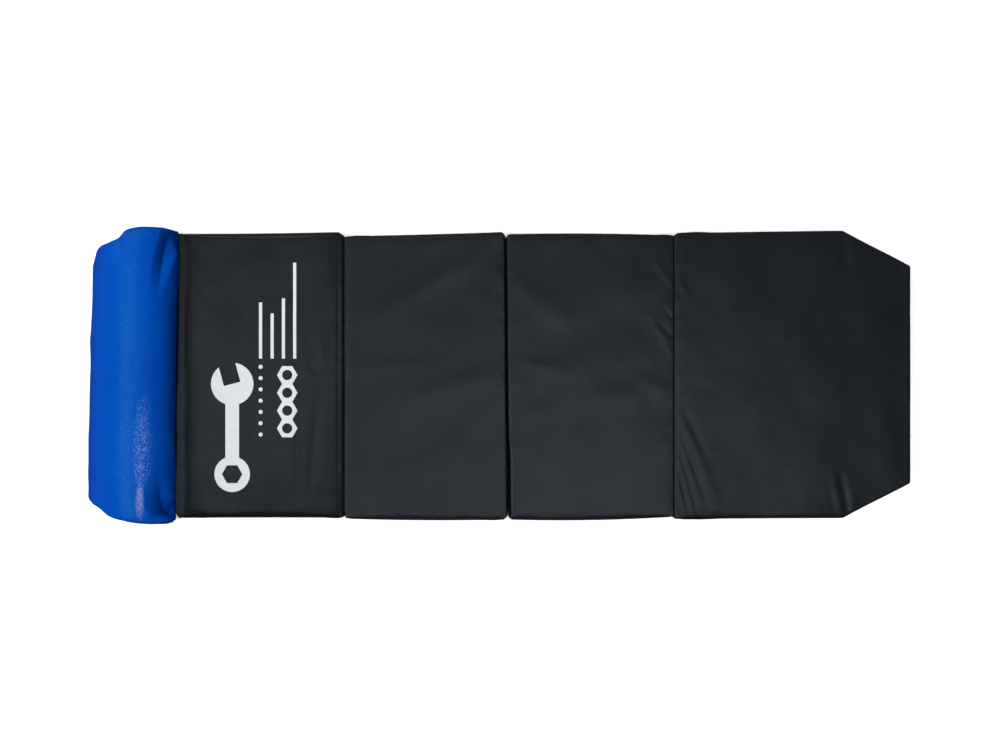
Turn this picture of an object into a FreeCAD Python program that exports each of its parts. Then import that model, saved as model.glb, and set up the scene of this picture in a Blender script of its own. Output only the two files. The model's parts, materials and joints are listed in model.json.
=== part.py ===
"""Folding mechanics creeper mat: four padded panels joined by fabric folds, with a sewn-on head roll.

The mat lies open on the floor. +X runs from the head roll to the foot panel, +Y across the mat and +Z up.
The origin is the middle of the footprint, at floor level. All sizes are in millimetres.

The folds alternate, so that the mat closes like an accordion: head roll to panel 1 and panel 2 to panel 3
are hinged at the underside, panel 1 to 2 and panel 3 to 4 at the lying surface. The long foot panel ends up
on top of the pack, and its tapered end reaches out over the head roll.
"""

import FreeCAD
import Part
import math
import os

Vector = FreeCAD.Vector

# Driving dimensions
MAT_LENGTH = 1200.0
PANEL_WIDTH = 417.0
PANEL_HEIGHT = 30.0
ROLL_PITCH = 130.5          # outer face of the head roll to its fold line
PANEL_PITCH = (241.5, 237.5, 246.0)  # panels 1 to 3, fold line to fold line; panel 4 takes the rest
FOLD_GAP = 4.0              # between the side walls of two neighbours
FOOT_CUT_LENGTH = 94.0      # the cut corners of the foot panel, along the mat
FOOT_CUT_WIDTH = 49.5       # and across it

# Sheet and core thicknesses
COVER = 1.0                 # coated fabric
BOARD = 3.0                 # stiffening board
BOARD_INSET = 6.0           # board edge to the outside of the cover
EDGE_RADIUS = 5.0           # rounded edges of the foam under the cover
THREAD_RADIUS = 0.35
THREAD_GAP = 0.05           # between the thread and the cloth that it lies on
THREAD_LIFT = THREAD_RADIUS + THREAD_GAP
SEAM_HEIGHT = 5.0           # of the seam that joins the top and bottom covers

# Fabric hinges
FLAP_INSET = 7.0            # end of a hinge flap to the side of the mat
FLAP_GAP = 0.2              # between the two halves, so that they can turn

# Head roll
ROLL_WIDTH = 434.0          # over the middle of its bulging ends
ROLL_END_WIDTH = 418.0      # at the fold line
ROLL_SHOULDER_WIDTH = 416.0  # where the end meets the rounded outer corner
ROLL_STRAIGHT_WIDTH = 324.0  # straight part of the outer face
ROLL_SHOULDER = 42.0        # outer face to the shoulder
ROLL_HEIGHT = 79.0
ROLL_WALL_HEIGHT = 30.0     # upright part of the sides, below the crown
ROLL_FOOT_RADIUS = 12.0     # outer lower edge
ROLL_SEAM_WIDTH = 400.0     # between the two end seams
ROLL_STITCHED = (20.0, 135.0)  # degrees of the crown's ellipse that the end seams show, from the fold side

# Printed signs on panel 1
INK = 0.15
SPANNER_X = -391.5          # middle of the spanner
SPANNER_Y = -76.5
SPANNER_LENGTH = 189.0
SPANNER_HANDLE = 20.0
RING_RADIUS = 26.0
RING_HEXAGON = 15.0         # corner radius of the hole in the ring
JAW_RADIUS = 31.0
JAW_MOUTH = 25.0            # width of the open mouth
JAW_TURN = 15.0             # degrees
DOT_RADIUS = 3.0
DOT_COUNT = 7
DOT_PITCH = 16.5
DOTS_X = -350.0
NUT_RADIUS = 15.0           # corner radius of a nut sign
NUT_HOLE_RADIUS = 7.5
NUT_COUNT = 4
NUT_PITCH = 26.0
NUTS_X = -311.0
ROWS_Y = 15.0               # the rows of dots and nuts start here and run towards -Y
BAR_WIDTH = 4.6
BARS_Y = 24.0               # the bars start here and run towards +Y
BARS = ((-350.0, 82.0), (-333.0, 66.0), (-316.5, 88.0), (-300.0, 140.0))  # place along the mat, length

# Fold lines, from the head to the foot
FOLD_X = [-MAT_LENGTH / 2 + ROLL_PITCH]
for pitch in PANEL_PITCH:
    FOLD_X.append(FOLD_X[-1] + pitch)
HEAD_FOLD, FOLD_1_2, FOLD_2_3, FOLD_3_4 = FOLD_X
HEAD_END = -MAT_LENGTH / 2
FOOT_END = MAT_LENGTH / 2 - THREAD_LIFT - THREAD_RADIUS  # the side seam stands out there
HALF = PANEL_WIDTH / 2
HALF_GAP = FOLD_GAP / 2
ROLL_FACE = HEAD_FOLD - HALF_GAP
ROLL_MIDDLE = (HEAD_END + ROLL_FACE) / 2

# Each panel's ends along X, and which of them is hinged at the lying surface
PANEL_ENDS = {
    1: (HEAD_FOLD + HALF_GAP, FOLD_1_2 - HALF_GAP),
    2: (FOLD_1_2 + HALF_GAP, FOLD_2_3 - HALF_GAP),
    3: (FOLD_2_3 + HALF_GAP, FOLD_3_4 - HALF_GAP),
    4: (FOLD_3_4 + HALF_GAP, FOOT_END),
}
TOP_HINGED_END = {1: 1, 2: 0, 3: 1, 4: 0}
NEAR_ZERO = 1e-6

PARTS = {}


def keep(name, shape):
    """Files a finished shape under its node name."""
    PARTS[name] = shape


def box(x0, x1, y0, y1, z0, z1):
    return Part.makeBox(x1 - x0, y1 - y0, z1 - z0, Vector(x0, y0, z0))


def polygon(points, z):
    """A closed wire through (x, y) points at height z."""
    corners = [Vector(x, y, z) for x, y in points]
    return Part.makePolygon(corners + corners[:1])


def panel_outline(number, z):
    """The outline of a panel at height z. The foot panel has two cut corners."""
    x0, x1 = PANEL_ENDS[number]
    if number < 4:
        return polygon([(x0, -HALF), (x1, -HALF), (x1, HALF), (x0, HALF)], z)
    cut_x = x1 - FOOT_CUT_LENGTH
    cut_y = HALF - FOOT_CUT_WIDTH
    return polygon(
        [(x0, -HALF), (cut_x, -HALF), (x1, -cut_y), (x1, cut_y), (cut_x, HALF), (x0, HALF)], z
    )


def offset_outline(number, z, inset):
    """The panel's outline moved inwards by inset, or outwards where inset is negative."""
    wire = panel_outline(number, z)
    if abs(inset) < NEAR_ZERO:
        return wire
    return wire.makeOffset2D(-inset, 2)


def is_upright(edge):
    a, b = (vertex.Point for vertex in edge.Vertexes)
    return math.hypot(a.x - b.x, a.y - b.y) < NEAR_ZERO


def runs_along_mat(edge):
    a, b = (vertex.Point for vertex in edge.Vertexes)
    return math.hypot(a.y - b.y, a.z - b.z) < NEAR_ZERO


def top_loop(block, high):
    """The edges round the upper face."""
    return [
        edge
        for edge in block.Edges
        if all(abs(vertex.Point.z - high) < NEAR_ZERO for vertex in edge.Vertexes)
    ]


def panel_block(number, inset, low, high, radius):
    """A panel-shaped block with rounded upright edges."""
    block = Part.Face(offset_outline(number, low, inset)).extrude(Vector(0, 0, high - low))
    return block.makeFillet(radius, [edge for edge in block.Edges if is_upright(edge)])


def cushion_block(number, inset, low, high, radius):
    """A panel-shaped block whose upper edges are rounded as well, apart from the one along the fold that
    is hinged at the lying surface. That end keeps only the rounding of its two side edges."""
    block = panel_block(number, inset, low, high, radius)
    rounded = block.makeFillet(radius, top_loop(block, high))

    hinged_x = PANEL_ENDS[number][TOP_HINGED_END[number]]
    reach = radius + inset
    half = HALF - inset
    end_bar = box(hinged_x - reach, hinged_x + reach, -half, half, low, high)
    sides = [edge for edge in top_loop(end_bar, high) if runs_along_mat(edge)]
    square_end = block.common(end_bar.makeFillet(radius, sides))
    return rounded.fuse(square_end).removeSplitter()


def sweep_thread(path):
    """A round thread along a wire or edge."""
    wire = path if isinstance(path, Part.Wire) else Part.Wire([path])
    start = wire.Edges[0]
    origin = start.valueAt(start.FirstParameter)
    tangent = start.tangentAt(start.FirstParameter)
    section = Part.Wire([Part.makeCircle(THREAD_RADIUS, origin, tangent)])
    return wire.makePipeShell([section], True, True)


def make_panel(number):
    """One panel: top and bottom covers, foam slab, stiffening board and the thread of the side seam."""
    name = f"panel_{number}"
    board_top = COVER + BOARD

    outer = cushion_block(number, 0, COVER, PANEL_HEIGHT, EDGE_RADIUS)
    inner = cushion_block(number, COVER, COVER, PANEL_HEIGHT - COVER, EDGE_RADIUS - COVER)
    keep(f"{name}_top_cover", outer.cut(inner))
    keep(f"{name}_bottom_cover", panel_block(number, 0, 0, COVER, EDGE_RADIUS))
    keep(f"{name}_board", panel_block(number, BOARD_INSET, COVER, board_top, EDGE_RADIUS))
    keep(f"{name}_foam", inner.common(box(HEAD_END, FOOT_END, -HALF, HALF, board_top, PANEL_HEIGHT)))

    around = panel_block(number, -THREAD_LIFT, SEAM_HEIGHT, PANEL_HEIGHT, EDGE_RADIUS + THREAD_LIFT)
    path = Part.Wire(Part.__sortEdges__(top_loop(around, SEAM_HEIGHT)))
    keep(f"{name}_thread", sweep_thread(path))


def make_flaps(fold_x, low, before, after):
    """The two halves of a fabric hinge. They meet at the fold line, and each belongs to the piece beside it."""
    half_length = HALF - FLAP_INSET
    meet = FLAP_GAP / 2
    keep(before, box(fold_x - HALF_GAP, fold_x - meet, -half_length, half_length, low, low + COVER))
    keep(after, box(fold_x + meet, fold_x + HALF_GAP, -half_length, half_length, low, low + COVER))


def roll_crown(offset):
    """The half ellipse over the head roll's cross-section, drawn flat with the height along Y."""
    return Part.Ellipse(
        Vector(ROLL_FACE + offset, ROLL_WALL_HEIGHT, 0),
        Vector(ROLL_MIDDLE, ROLL_HEIGHT + offset, 0),
        Vector(ROLL_MIDDLE, ROLL_WALL_HEIGHT, 0),
    )


def stand_up(shape, y):
    """Turns a shape drawn flat upright, into the plane across the mat at y."""
    shape.rotate(Vector(0, 0, 0), Vector(1, 0, 0), 90)
    shape.translate(Vector(0, y, 0))
    return shape


def roll_section(inset):
    """The head roll's cross-section: flat underneath, upright sides and an elliptical crown. Its outer lower
    corner is rounded, and the one beside the fold is square. Drawn flat, with the height along Y."""
    x0 = HEAD_END + inset
    x1 = ROLL_FACE - inset
    foot = ROLL_FOOT_RADIUS - inset
    centre = x0 + foot
    corner = foot * (1 - math.sqrt(0.5))
    edges = [
        Part.LineSegment(Vector(x1, inset, 0), Vector(x1, ROLL_WALL_HEIGHT, 0)).toShape(),
        roll_crown(-inset).toShape(0, math.pi),
        Part.LineSegment(Vector(x0, ROLL_WALL_HEIGHT, 0), Vector(x0, inset + foot, 0)).toShape(),
        Part.Arc(
            Vector(x0, inset + foot, 0),
            Vector(x0 + corner, inset + corner, 0),
            Vector(centre, inset, 0),
        ).toShape(),
        Part.LineSegment(Vector(centre, inset, 0), Vector(x1, inset, 0)).toShape(),
    ]
    return Part.Face(Part.Wire(edges))


def roll_plan(inset):
    """The head roll seen from above: bulging ends, with elliptical outer corners that are pulled in."""
    x0 = HEAD_END + inset
    x1 = ROLL_FACE - inset
    shoulder_x = HEAD_END + ROLL_SHOULDER
    straight = ROLL_STRAIGHT_WIDTH / 2
    shoulder = ROLL_SHOULDER_WIDTH / 2 - inset
    bulge = ROLL_WIDTH / 2 - inset
    end = ROLL_END_WIDTH / 2 - inset

    corner = Part.Ellipse(
        Vector(shoulder_x, shoulder, 0), Vector(x0, straight, 0), Vector(shoulder_x, straight, 0)
    )
    far_end = [
        Part.Arc(
            Vector(x1, end, 0), Vector((x1 + shoulder_x) / 2, bulge, 0), Vector(shoulder_x, shoulder, 0)
        ).toShape(),
        corner.toShape(0, math.pi / 2),
    ]
    near_end = [edge.mirror(Vector(0, 0, 0), Vector(0, 1, 0)) for edge in far_end]
    outer_face = Part.LineSegment(Vector(x0, straight, 0), Vector(x0, -straight, 0)).toShape()
    inner_face = Part.LineSegment(Vector(x1, -end, 0), Vector(x1, end, 0)).toShape()
    edges = far_end + [outer_face] + near_end + [inner_face]
    return Part.Face(Part.Wire(Part.__sortEdges__(edges)))


def roll_block(inset):
    """The head roll as one closed block, moved inwards by inset."""
    along = stand_up(roll_section(inset), -ROLL_WIDTH / 2).extrude(Vector(0, ROLL_WIDTH, 0))
    upright = roll_plan(inset).extrude(Vector(0, 0, ROLL_HEIGHT))
    return along.common(upright)


def make_head_roll():
    """The head roll: foam core, base sheet, vinyl wrap, two end caps and the thread over each end seam."""
    outer = roll_block(0)
    core = roll_block(COVER)
    keep("head_roll_foam", core)
    keep("head_roll_base", outer.common(box(HEAD_END, ROLL_FACE, -ROLL_WIDTH, ROLL_WIDTH, 0, COVER)))

    seam = ROLL_SEAM_WIDTH / 2
    pieces = {"wrap": (-seam, seam), "cap_near": (-ROLL_WIDTH, -seam), "cap_far": (seam, ROLL_WIDTH)}
    skin = outer.cut(core)
    for name, (y0, y1) in pieces.items():
        keep(f"head_roll_{name}", skin.common(box(HEAD_END, ROLL_FACE, y0, y1, COVER, ROLL_HEIGHT)))

    for name, y in (("near", -seam), ("far", seam)):
        arc = roll_crown(THREAD_LIFT).toShape(*(math.radians(angle) for angle in ROLL_STITCHED))
        keep(f"head_roll_thread_{name}", sweep_thread(stand_up(arc, y)))


def flat_ink(face):
    """A thin printed layer on the lying surface, from a face at height 0."""
    layer = face.extrude(Vector(0, 0, INK))
    layer.translate(Vector(0, 0, PANEL_HEIGHT))
    return layer


def hexagon(x, y, radius):
    """A six-sided face at height 0, with a corner towards +X."""
    angles = [math.radians(60 * i) for i in range(6)]
    return Part.Face(polygon([(x + radius * math.cos(a), y + radius * math.sin(a)) for a in angles], 0))


def disc(x, y, radius):
    return Part.Face(Part.Wire([Part.makeCircle(radius, Vector(x, y, 0))]))


def rectangle(x0, x1, y0, y1):
    return Part.Face(polygon([(x0, y0), (x1, y0), (x1, y1), (x0, y1)], 0))


def spanner_sign():
    """A plain spanner across the panel, with a ring at one end and an open jaw at the other."""
    ring_y = SPANNER_Y - SPANNER_LENGTH / 2 + RING_RADIUS
    jaw_y = SPANNER_Y + SPANNER_LENGTH / 2 - JAW_RADIUS
    half_handle = SPANNER_HANDLE / 2
    sign = rectangle(SPANNER_X - half_handle, SPANNER_X + half_handle, ring_y, jaw_y)
    sign = sign.fuse([disc(SPANNER_X, ring_y, RING_RADIUS), disc(SPANNER_X, jaw_y, JAW_RADIUS)])
    mouth = rectangle(-JAW_MOUTH / 2, JAW_MOUTH / 2, 0, 2 * JAW_RADIUS)
    mouth.rotate(Vector(0, 0, 0), Vector(0, 0, 1), JAW_TURN)
    mouth.translate(Vector(SPANNER_X, jaw_y, 0))
    return sign.removeSplitter().cut([hexagon(SPANNER_X, ring_y, RING_HEXAGON), mouth])


def make_print():
    """The white screen print on panel 1: a spanner, a row of dots, a row of nuts and four plain bars."""
    faces = [spanner_sign()]
    for i in range(DOT_COUNT):
        faces.append(disc(DOTS_X, ROWS_Y - DOT_RADIUS - i * DOT_PITCH, DOT_RADIUS))
    for i in range(NUT_COUNT):
        y = ROWS_Y - NUT_RADIUS - i * NUT_PITCH
        faces.append(hexagon(NUTS_X, y, NUT_RADIUS).cut(disc(NUTS_X, y, NUT_HOLE_RADIUS)))
    for x, length in BARS:
        faces.append(rectangle(x - BAR_WIDTH / 2, x + BAR_WIDTH / 2, BARS_Y, BARS_Y + length))
    keep("panel_1_print", Part.makeCompound([flat_ink(face) for face in faces]))


def main():
    make_head_roll()
    for number in PANEL_ENDS:
        make_panel(number)
    make_print()

    upper = PANEL_HEIGHT - COVER
    make_flaps(HEAD_FOLD, 0, "head_roll_flap", "panel_1_flap_to_head_roll")
    make_flaps(FOLD_1_2, upper, "panel_1_flap_to_2", "panel_2_flap_to_1")
    make_flaps(FOLD_2_3, 0, "panel_2_flap_to_3", "panel_3_flap_to_2")
    make_flaps(FOLD_3_4, upper, "panel_3_flap_to_4", "panel_4_flap_to_3")

    os.makedirs("parts", exist_ok=True)
    for name, shape in PARTS.items():
        shape.exportStep(f"parts/{name}.step")
        print(f"{name}: {len(shape.Solids)} solid, valid {shape.isValid()}, {shape.Volume / 1000:.1f} cm3")


main()
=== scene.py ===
import json
import math
import random

import bmesh
import bpy
import numpy as np
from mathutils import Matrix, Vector
from mathutils.bvhtree import BVHTree


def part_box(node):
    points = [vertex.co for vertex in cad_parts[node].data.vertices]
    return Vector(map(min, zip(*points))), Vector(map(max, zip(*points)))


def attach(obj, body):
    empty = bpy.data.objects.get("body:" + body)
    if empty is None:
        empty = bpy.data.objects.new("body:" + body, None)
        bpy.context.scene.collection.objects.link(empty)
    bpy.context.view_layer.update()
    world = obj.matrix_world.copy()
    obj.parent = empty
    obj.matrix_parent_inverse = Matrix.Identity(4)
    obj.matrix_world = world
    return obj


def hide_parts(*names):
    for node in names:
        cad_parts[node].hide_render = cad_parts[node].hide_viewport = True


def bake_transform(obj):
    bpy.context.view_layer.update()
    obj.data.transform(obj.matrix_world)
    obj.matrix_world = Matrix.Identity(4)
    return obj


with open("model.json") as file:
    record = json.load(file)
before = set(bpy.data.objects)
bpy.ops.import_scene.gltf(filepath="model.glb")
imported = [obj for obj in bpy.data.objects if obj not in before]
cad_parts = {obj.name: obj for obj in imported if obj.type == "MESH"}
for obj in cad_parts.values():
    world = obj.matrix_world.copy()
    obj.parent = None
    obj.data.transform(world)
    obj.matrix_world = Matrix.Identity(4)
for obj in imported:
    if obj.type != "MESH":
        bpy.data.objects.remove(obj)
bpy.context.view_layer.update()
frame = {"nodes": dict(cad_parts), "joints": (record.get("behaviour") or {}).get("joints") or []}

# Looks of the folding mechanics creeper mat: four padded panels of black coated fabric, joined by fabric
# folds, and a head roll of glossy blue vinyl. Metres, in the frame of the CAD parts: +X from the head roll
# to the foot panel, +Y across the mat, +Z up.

MM = 0.001

# Places taken from the frame
JOINT_X = {joint["name"]: joint["pos_m"][0] for joint in frame["joints"]}
PANEL_BOX = {n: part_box(f"panel_{n}_top_cover") for n in (1, 2, 3, 4)}
HALF_WIDTH = PANEL_BOX[1][1].y
PANEL_TOP = PANEL_BOX[1][1].z
ROLL_LOW, ROLL_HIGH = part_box("head_roll_foam")
FOOT_CUT_X = 94 * MM        # cut corners of the foot panel, along the mat
FOOT_CUT_Y = 49.5 * MM      # and across it

# Padding and fabric
PAD_TOP = PANEL_TOP - 1.9 * MM    # lying surface before the padding swells
MOST_TOP = PANEL_TOP + 0.05 * MM  # and the highest that it may reach, so that folded panels stay apart
SWELL = 0.25                # how much of the cloth's rise is kept
SOFT_LIMIT = 0.7 * MM       # the rise eases off over this much below the highest top
CLOTH = 0.8 * MM            # thickness of the fabrics
SEAM_Z = 5 * MM             # the covers are held from here down
STITCH_Z = SEAM_Z + 1.2 * MM
SEAM_EDGE_Z = 2.6 * MM      # height of the rolled edge below the stitches
SEAM_EDGE_RADIUS = 1.3 * MM
UNDERSIDE_INSET = 0.6 * MM
FINE_LINES = [0, 1.2 * MM, 2.6 * MM, 4.4 * MM, 6.8 * MM, 10 * MM]  # grid lines near an edge
GRID_STEP = 6 * MM          # and further in

# How round the edges of the covers are: along the sides, and at the head end and the foot end of each panel
SIDE_ROUND = 4.2 * MM
END_ROUND = {
    1: (2.2 * MM, 1.7 * MM),
    2: (1.6 * MM, 2.0 * MM),
    3: (2.6 * MM, 1.5 * MM),
    4: (1.6 * MM, 4.0 * MM),
}
ROUND_CHANGE = 14 * MM      # the roundness changes over this length

# How far each cover reaches past the nominal ends of its panel: at the head end and the foot end
END_REACH = {
    1: (5.2 * MM, 0.7 * MM),
    2: (0.3 * MM, 0.9 * MM),
    3: (-0.2 * MM, 0.5 * MM),
    4: (2.4 * MM, 3.4 * MM),
}
REACH_CHANGE = 80 * MM      # the reach fades over this length
ROLL_LEAN = 6.5 / 417       # the head roll lies slightly askew, and the head end of panel 1 follows it
MIDDLE_LEAN = -1.8 / 208    # the fold in the middle of the mat lies askew too
HEAD_CORNER = (7 * MM, 26 * MM)  # the rounded near corner at the head end: along the mat and across it
RIM_END = 6 * MM            # the rim of panel 1 ends this far inside its nominal head end

# How far the long sides at +Y (1) and -Y (-1) stand out beyond the nominal half width, in millimetres: at the
# head end, the middle and the foot end
SIDE_BOW = {
    1: {1: (-1.6, -0.9, 1.1), -1: (0.9, 0.5, 0.7)},
    2: {1: (-5.3, -2.4, 0.8), -1: (2.2, 4.5, 3.5)},
    3: {1: (-2.1, -1.1, -3.8), -1: (3.5, 4.3, -0.5)},
    4: {1: (-0.5, 2.1, 4.2), -1: (2.6, 1.6, 1.2)},
}

# The slanted corners at the folds, in millimetres along the mat and across it: at the head end and the foot
# end of each long side
CORNERS = {
    1: {1: ((0, 0), (9, 6.5)), -1: ((0, 0), (4, 2.2))},
    2: {1: ((3, 0.8), (4, 4)), -1: ((6, 2.2), (4.5, 5))},
    3: {1: ((3, 3), (3, 1.5)), -1: ((3.5, 2.5), (2, 0.6))},
    4: {1: ((7, 5), (0, 0)), -1: ((4, 3), (0, 0))},
}


# ---------------- mesh helpers

def new_object(name, verts, faces, tags=None):
    """A smooth-shaded mesh object. tags gives each face a number, kept as its material index."""
    mesh = bpy.data.meshes.new(name)
    mesh.from_pydata([tuple(v) for v in verts], [], faces)
    if tags is not None:
        mesh.polygons.foreach_set("material_index", tags)
    mesh.polygons.foreach_set("use_smooth", [True] * len(mesh.polygons))
    mesh.update()
    obj = bpy.data.objects.new(name, mesh)
    bpy.context.scene.collection.objects.link(obj)
    return obj


def closed_object(name, verts, faces, tags=None):
    """A mesh object of a closed surface, with all its faces looking outwards."""
    obj = new_object(name, verts, faces, tags)
    mesh = bmesh.new()
    mesh.from_mesh(obj.data)
    bmesh.ops.recalc_face_normals(mesh, faces=mesh.faces)
    mesh.to_mesh(obj.data)
    mesh.free()
    return obj


def ring_faces(count, rings, first=0, joined=False):
    """Faces between rings of count points each. Unless the last ring is joined to the first, both ends get
    a face too."""
    faces = []
    for ring in range(rings if joined else rings - 1):
        a = first + ring * count
        b = first + (ring + 1) % rings * count
        for i in range(count):
            j = (i + 1) % count
            faces.append([a + i, a + j, b + j, b + i])
    if not joined:
        faces.append([first + i for i in range(count)])
        faces.append([first + (rings - 1) * count + i for i in reversed(range(count))])
    return faces


def vectors(vertices, kind):
    """The places ("co") or normals ("normal") of the vertices, as an array."""
    flat = np.empty(len(vertices) * 3, np.float32)
    vertices.foreach_get(kind, flat)
    return flat.reshape(-1, 3).astype(float)


def points_of(obj):
    return vectors(obj.data.vertices, "co")


def set_points(obj, points):
    obj.data.vertices.foreach_set("co", np.ascontiguousarray(points, np.float32).reshape(-1))
    obj.data.update()


def apply_modifiers(obj):
    """Bakes the object's modifiers into its mesh."""
    evaluated = obj.evaluated_get(bpy.context.evaluated_depsgraph_get())
    mesh = bpy.data.meshes.new_from_object(evaluated)
    obj.modifiers.clear()
    obj.data = mesh


def subdivide(obj):
    obj.modifiers.new("smooth", "SUBSURF").levels = 1
    apply_modifiers(obj)


def thicken(obj):
    """Gives a sheet the thickness of the fabrics, on the inner side."""
    solid = obj.modifiers.new("thickness", "SOLIDIFY")
    solid.thickness = CLOTH
    solid.offset = -1
    apply_modifiers(obj)


def split_off(obj, tag, name):
    """A new object of the faces with that tag."""
    source = obj.data
    faces = [list(p.vertices) for p in source.polygons if p.material_index == tag]
    used = sorted({v for face in faces for v in face})
    number = {old: new for new, old in enumerate(used)}
    points = points_of(obj)[used]
    return new_object(name, points, [[number[v] for v in face] for face in faces])


def surface_tree(obj):
    """Finds the nearest point of an object's surface, or where a ray meets it."""
    places = [v.co for v in obj.data.vertices]
    return BVHTree.FromPolygons(places, [list(p.vertices) for p in obj.data.polygons])


def grid_lines(low, high, step=GRID_STEP):
    """Grid lines from low to high, closer together near both ends."""
    near = np.array(FINE_LINES)
    count = max(2, round((high - low - 2 * near[-1]) / step))
    middle = np.linspace(low + near[-1], high - near[-1], count + 1)
    return np.concatenate([low + near[:-1], middle, (high - near[:-1])[::-1]])


def box_skin(xs, ys, zs):
    """The surface of a box between grid lines: vertices, outward quads, and a tag per quad that is 1
    underneath and 0 elsewhere."""
    index, verts, faces, tags = {}, [], [], []
    nx, ny, nz = len(xs) - 1, len(ys) - 1, len(zs) - 1

    def corner(i, j, k):
        if (i, j, k) not in index:
            index[i, j, k] = len(verts)
            verts.append((xs[i], ys[j], zs[k]))
        return index[i, j, k]

    def quad(tag, *corners):
        faces.append([corner(*c) for c in corners])
        tags.append(tag)

    for i in range(nx):
        for j in range(ny):
            quad(0, (i, j, nz), (i + 1, j, nz), (i + 1, j + 1, nz), (i, j + 1, nz))
            quad(1, (i, j, 0), (i, j + 1, 0), (i + 1, j + 1, 0), (i + 1, j, 0))
        for k in range(nz):
            quad(0, (i, 0, k), (i + 1, 0, k), (i + 1, 0, k + 1), (i, 0, k + 1))
            quad(0, (i, ny, k), (i, ny, k + 1), (i + 1, ny, k + 1), (i + 1, ny, k))
    for j in range(ny):
        for k in range(nz):
            quad(0, (0, j, k), (0, j, k + 1), (0, j + 1, k + 1), (0, j + 1, k))
            quad(0, (nx, j, k), (nx, j + 1, k), (nx, j + 1, k + 1), (nx, j, k + 1))
    return np.array(verts), faces, tags


def smoothstep(value):
    t = np.clip(value, 0, 1)
    return t * t * (3 - 2 * t)


def ripples(x, y, wavelength, seed, waves=16):
    """Smooth random ripples of about that wavelength. Their spread is about 0.7."""
    rng = np.random.default_rng(seed)
    total = np.zeros_like(x)
    for _ in range(waves):
        angle, start = rng.uniform(0, 2 * math.pi, 2)
        number = 2 * math.pi / (wavelength * rng.uniform(0.7, 1.7))
        total += np.sin((x * math.cos(angle) + y * math.sin(angle)) * number + start)
    return total / math.sqrt(waves)


def crease(x, y, start, end, width, depth):
    """The height of one crease along a line: a groove where depth is negative. It fades at both ends."""
    (x0, y0), (x1, y1) = start, end
    dx, dy = x1 - x0, y1 - y0
    t = np.clip(((x - x0) * dx + (y - y0) * dy) / (dx * dx + dy * dy), 0, 1)
    distance = np.hypot(x - x0 - t * dx, y - y0 - t * dy)
    return depth * np.exp(-((distance / width) ** 2)) * np.sin(math.pi * t) ** 0.7


def creases(x, y, table):
    """The height of all the creases in a table, which is in millimetres."""
    height = np.zeros_like(x)
    for start, end, width, depth in table:
        height += crease(x, y, *in_metres([start, end]), width * MM, depth * MM)
    return height


def in_metres(points):
    return [tuple(value * MM for value in point) for point in points]


def evened(obj, values, held, passes):
    """Evens out values given at the points of a mesh, and keeps them 0 where held is 1."""
    edges = np.empty(len(obj.data.edges) * 2, np.int32)
    obj.data.edges.foreach_get("vertices", edges)
    a, b = edges.reshape(-1, 2).T
    neighbours = np.bincount(edges, minlength=len(values))[:, None]
    for _ in range(passes):
        total = np.zeros_like(values)
        np.add.at(total, a, values[b])
        np.add.at(total, b, values[a])
        values = 0.5 * (values + total / neighbours) * (1 - held)[:, None]
    return values


PANEL_MOST = 2.4 * MM       # the furthest that a point may move, on a panel and on the roll
ROLL_MOST = 3 * MM
PRESSURE = 4                # of the padding against its cover
SETTLE_FRAMES = 20
COVER_FABRIC = {            # cloth settings
    "quality": 5,
    "mass": 0.3,
    "tension_stiffness": 15,
    "compression_stiffness": 15,
    "shear_stiffness": 5,
    "bending_stiffness": 0.5,
    "shrink_min": -0.012,
}


def settle_cloth(obj, pinned, most):
    """Runs Blender's cloth on a closed mesh and keeps the result, no point moving further than most. Returns
    its points before and after."""
    start = points_of(obj)
    group = obj.vertex_groups.new(name="sewn")
    group.add(np.nonzero(pinned)[0].tolist(), 1.0, "REPLACE")
    cloth = obj.modifiers.new("cloth", "CLOTH")
    settings = cloth.settings
    for name, value in COVER_FABRIC.items():
        setattr(settings, name, value)
    settings.use_pressure = True
    settings.uniform_pressure_force = PRESSURE
    settings.vertex_group_mass = group.name
    settings.effector_weights.gravity = 0
    cloth.collision_settings.use_collision = False
    cloth.point_cache.frame_end = SETTLE_FRAMES
    scene = bpy.context.scene
    for number in range(1, SETTLE_FRAMES + 1):
        scene.frame_set(number)
    evaluated = obj.evaluated_get(bpy.context.evaluated_depsgraph_get())
    moved = points_of(evaluated) - start
    obj.modifiers.clear()
    obj.vertex_groups.clear()
    scene.frame_set(1)
    length = np.linalg.norm(moved, axis=1, keepdims=True)
    kept = moved * (most * np.tanh(length / most) / np.maximum(length, 1e-9))
    set_points(obj, start + kept)
    return start, start + kept


def finish_piece(obj, body, slot, replaced=()):
    """Gives a piece the material of its record slot and its body, and hides the CAD nodes that it stands for.
    A piece without a body gets no parent here."""
    obj.data.materials.clear()
    obj.data.materials.append(MATERIALS[slot])
    obj.data.polygons.foreach_set("material_index", [0] * len(obj.data.polygons))
    if replaced:
        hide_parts(*replaced)
    if body:
        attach(obj, body)
    return obj


# ---------------- materials

class Nodes:
    """A short way to write a node tree."""

    def __init__(self, tree):
        self.tree = tree

    def add(self, kind, **values):
        node = self.tree.nodes.new(kind)
        for key, value in values.items():
            setattr(node, key, value)
        return node

    def link(self, source, target):
        self.tree.links.new(source, target)

    def math(self, operation, a, b):
        node = self.add("ShaderNodeMath", operation=operation)
        for socket, value in zip(node.inputs, (a, b)):
            if isinstance(value, (int, float)):
                socket.default_value = value
            else:
                self.link(value, socket)
        return node.outputs[0]

    def ranged(self, value, zero, one, low=0.0, high=1.0):
        """low where value is zero or beyond, high where it is one or beyond, and even steps between them."""
        node = self.add("ShaderNodeMapRange")
        limits = {"From Min": zero, "From Max": one, "To Min": low, "To Max": high}
        for name, limit in limits.items():
            node.inputs[name].default_value = limit
        self.link(value, node.inputs["Value"])
        return node.outputs["Result"]


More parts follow.
